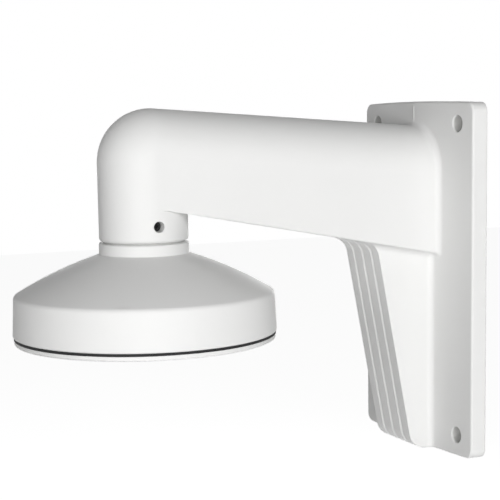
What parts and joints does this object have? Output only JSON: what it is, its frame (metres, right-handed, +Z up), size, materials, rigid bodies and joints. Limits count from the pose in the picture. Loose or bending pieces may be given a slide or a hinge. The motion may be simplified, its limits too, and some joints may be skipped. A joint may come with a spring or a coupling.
{
  "type": "camera wall bracket",
  "caption": "Hollow die-cast wall bracket for a dome camera, with wall plate, gusseted arm, curved elbow and a round screw-in cap that carries the camera",
  "frame": {"origin": "middle of the face that lies on the wall", "axes": "+Z up, +Y into the wall, the arm reaches along -Y and +X is across the plate"},
  "size_m": [0.1269, 0.2255, 0.183],
  "materials": {
    "white_coat": "satin white powder coat on die-cast aluminium",
    "black_rubber": "matt black sealing ring",
    "bright_steel": "plain stainless screws",
    "black_steel": "blackened set screw"
  },
  "bodies": {
    "root": {"wall_bracket": "white_coat", "camera_cap": "white_coat", "cap_gasket": "black_rubber", "adapter_plate": "white_coat", "adapter_screws": "bright_steel", "lock_screw": "black_steel"}
  },
  "joints": []
}
